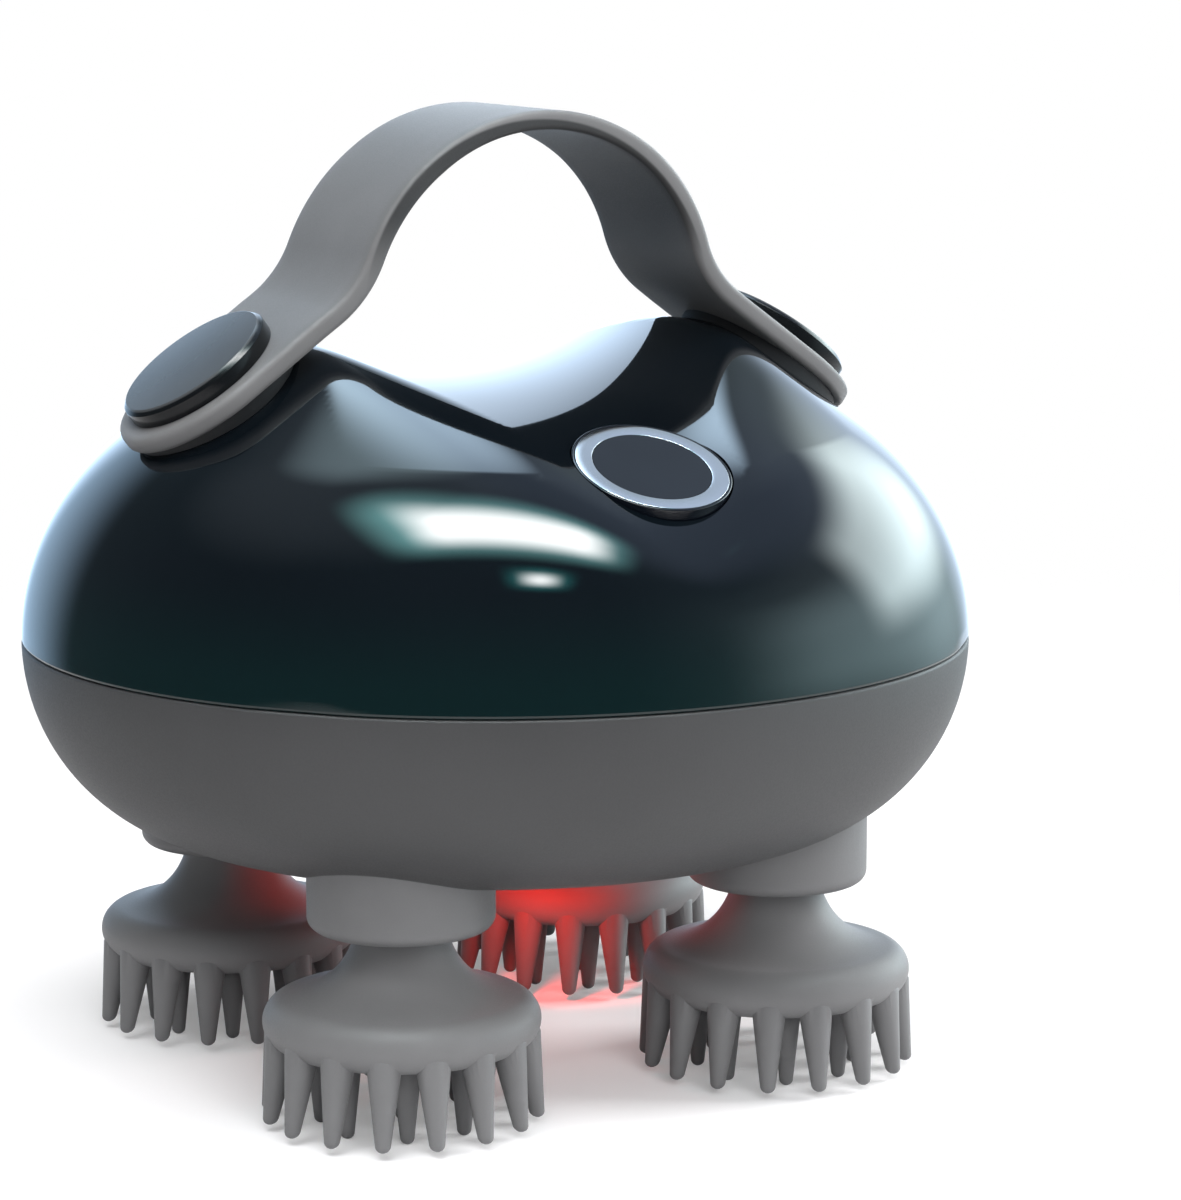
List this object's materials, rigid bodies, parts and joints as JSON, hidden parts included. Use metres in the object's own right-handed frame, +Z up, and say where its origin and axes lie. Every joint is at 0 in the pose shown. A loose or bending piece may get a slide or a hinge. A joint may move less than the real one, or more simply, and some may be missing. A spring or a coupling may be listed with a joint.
{
  "type": "electric scalp massager",
  "caption": "Palm-held electric scalp massager: glossy saddle-topped dome, silicone strap handle, push button and geared rotating bristle heads that pull off.",
  "frame": {"origin": "on the table under the middle of the body, at the height of the longest bristle tips", "axes": "+Z up; -Y to the front, where the push button is; +Y to the back, where the charging port is; the strap bridges the body along X"},
  "size_m": [0.124, 0.124, 0.1244],
  "materials": {
    "shell_gloss": "glossy, clear coated",
    "shell_matte": "fine matte",
    "silicone": "soft matte silicone",
    "silicone_dark": "soft matte silicone",
    "cap_grey": "satin",
    "plastic_black": "satin",
    "button_black": "glossy",
    "ring_silver": "bright brushed",
    "steel": "ground",
    "bronze": "sintered",
    "brass": "turned",
    "gear_white": "moulded acetal",
    "plastic_grey": "moulded",
    "motor_can": "plated",
    "cell_wrap": "shrink wrap",
    "board_green": "solder mask",
    "lens_red": "clear red"
  },
  "bodies": {
    "housing": {"button_board": "board_green", "cell": "cell_wrap", "cell_tray": "plastic_grey", "drive_axle": "steel", "gear_plate": "plastic_grey", "joint_ring": "plastic_black", "led_board": "board_green", "led_lens": "lens_red", "lower_shell": "shell_matte", "main_board": "board_green", "motor_can": "motor_can", "motor_endbell": "plastic_black", "plate_screw_1": "steel", "plate_screw_2": "steel", "plate_screw_3": "steel", "plate_screw_4": "steel", "spindle_bush_bl": "bronze", "spindle_bush_br": "bronze", "spindle_bush_fl": "bronze", "spindle_bush_fr": "bronze", "spindle_seal_bl": "silicone_dark", "spindle_seal_br": "silicone_dark", "spindle_seal_fl": "silicone_dark", "spindle_seal_fr": "silicone_dark", "strap": "silicone", "strap_cap_left": "cap_grey", "strap_cap_right": "cap_grey", "strap_nut_left": "steel", "strap_nut_right": "steel", "strap_seat_left": "silicone_dark", "strap_seat_right": "silicone_dark", "tact_switch": "plastic_grey", "upper_shell": "shell_gloss", "usb_socket": "steel"},
    "drive": {"drive_gear": "gear_white"},
    "rotor": {"motor_shaft": "steel", "motor_pinion": "brass"},
    "button": {"button_cap": "button_black", "button_ring": "ring_silver", "switch_plunger": "plastic_black"},
    "port_flap": {"port_cover": "silicone_dark"},
    "spin_fl": {"spindle_fl": "steel", "output_gear_fl": "gear_white"},
    "scrub_fl": {"head_fl": "silicone", "head_hub_fl": "plastic_black"},
    "spin_fr": {"spindle_fr": "steel", "output_gear_fr": "gear_white"},
    "scrub_fr": {"head_fr": "silicone", "head_hub_fr": "plastic_black"},
    "spin_bl": {"spindle_bl": "steel", "output_gear_bl": "gear_white"},
    "scrub_bl": {"head_bl": "silicone", "head_hub_bl": "plastic_black"},
    "spin_br": {"spindle_br": "steel", "output_gear_br": "gear_white"},
    "scrub_br": {"head_br": "silicone", "head_hub_br": "plastic_black"}
  },
  "joints": [
    {"name": "drive_turn", "type": "hinge", "parent": "housing", "child": "drive", "pos_m": [0, 0, 0.041], "axis": [0, 0, 1], "continuous": true},
    {"name": "rotor_turn", "type": "hinge", "parent": "housing", "child": "rotor", "pos_m": [0, 0.0256, 0.041], "axis": [0, 0, 1], "continuous": true},
    {"name": "button_press", "type": "slide", "parent": "housing", "child": "button", "axis": [0, 0.4136, -0.9104], "range_m": [0, 0.0008], "stiffness_N_per_m": 1500},
    {"name": "port_flap_open", "type": "hinge", "parent": "housing", "child": "port_flap", "pos_m": [0, 0.0589, 0.05963], "axis": [-1, 0, 0], "range_deg": [0, 90]},
    {"name": "head_turn_fl", "type": "hinge", "parent": "housing", "child": "spin_fl", "pos_m": [-0.02705, -0.02705, 0.041], "axis": [0, 0, 1], "continuous": true},
    {"name": "head_turn_fr", "type": "hinge", "parent": "housing", "child": "spin_fr", "pos_m": [0.02705, -0.02705, 0.041], "axis": [0, 0, 1], "continuous": true},
    {"name": "head_turn_bl", "type": "hinge", "parent": "housing", "child": "spin_bl", "pos_m": [-0.02705, 0.02705, 0.041], "axis": [0, 0, 1], "continuous": true},
    {"name": "head_turn_br", "type": "hinge", "parent": "housing", "child": "spin_br", "pos_m": [0.02705, 0.02705, 0.041], "axis": [0, 0, 1], "continuous": true},
    {"name": "head_pull_fl", "type": "slide", "parent": "spin_fl", "child": "scrub_fl", "axis": [0, 0, -1], "range_m": [0, 0.02]},
    {"name": "head_pull_fr", "type": "slide", "parent": "spin_fr", "child": "scrub_fr", "axis": [0, 0, -1], "range_m": [0, 0.02]},
    {"name": "head_pull_bl", "type": "slide", "parent": "spin_bl", "child": "scrub_bl", "axis": [0, 0, -1], "range_m": [0, 0.02]},
    {"name": "head_pull_br", "type": "slide", "parent": "spin_br", "child": "scrub_br", "axis": [0, 0, -1], "range_m": [0, 0.02]}
  ],
  "couplings": [
    {"joint": "rotor_turn", "follows": "drive_turn", "ratio": -3},
    {"joint": "head_turn_fl", "follows": "drive_turn", "ratio": -2.4},
    {"joint": "head_turn_fr", "follows": "drive_turn", "ratio": -2.4},
    {"joint": "head_turn_bl", "follows": "drive_turn", "ratio": -2.4},
    {"joint": "head_turn_br", "follows": "drive_turn", "ratio": -2.4}
  ]
}
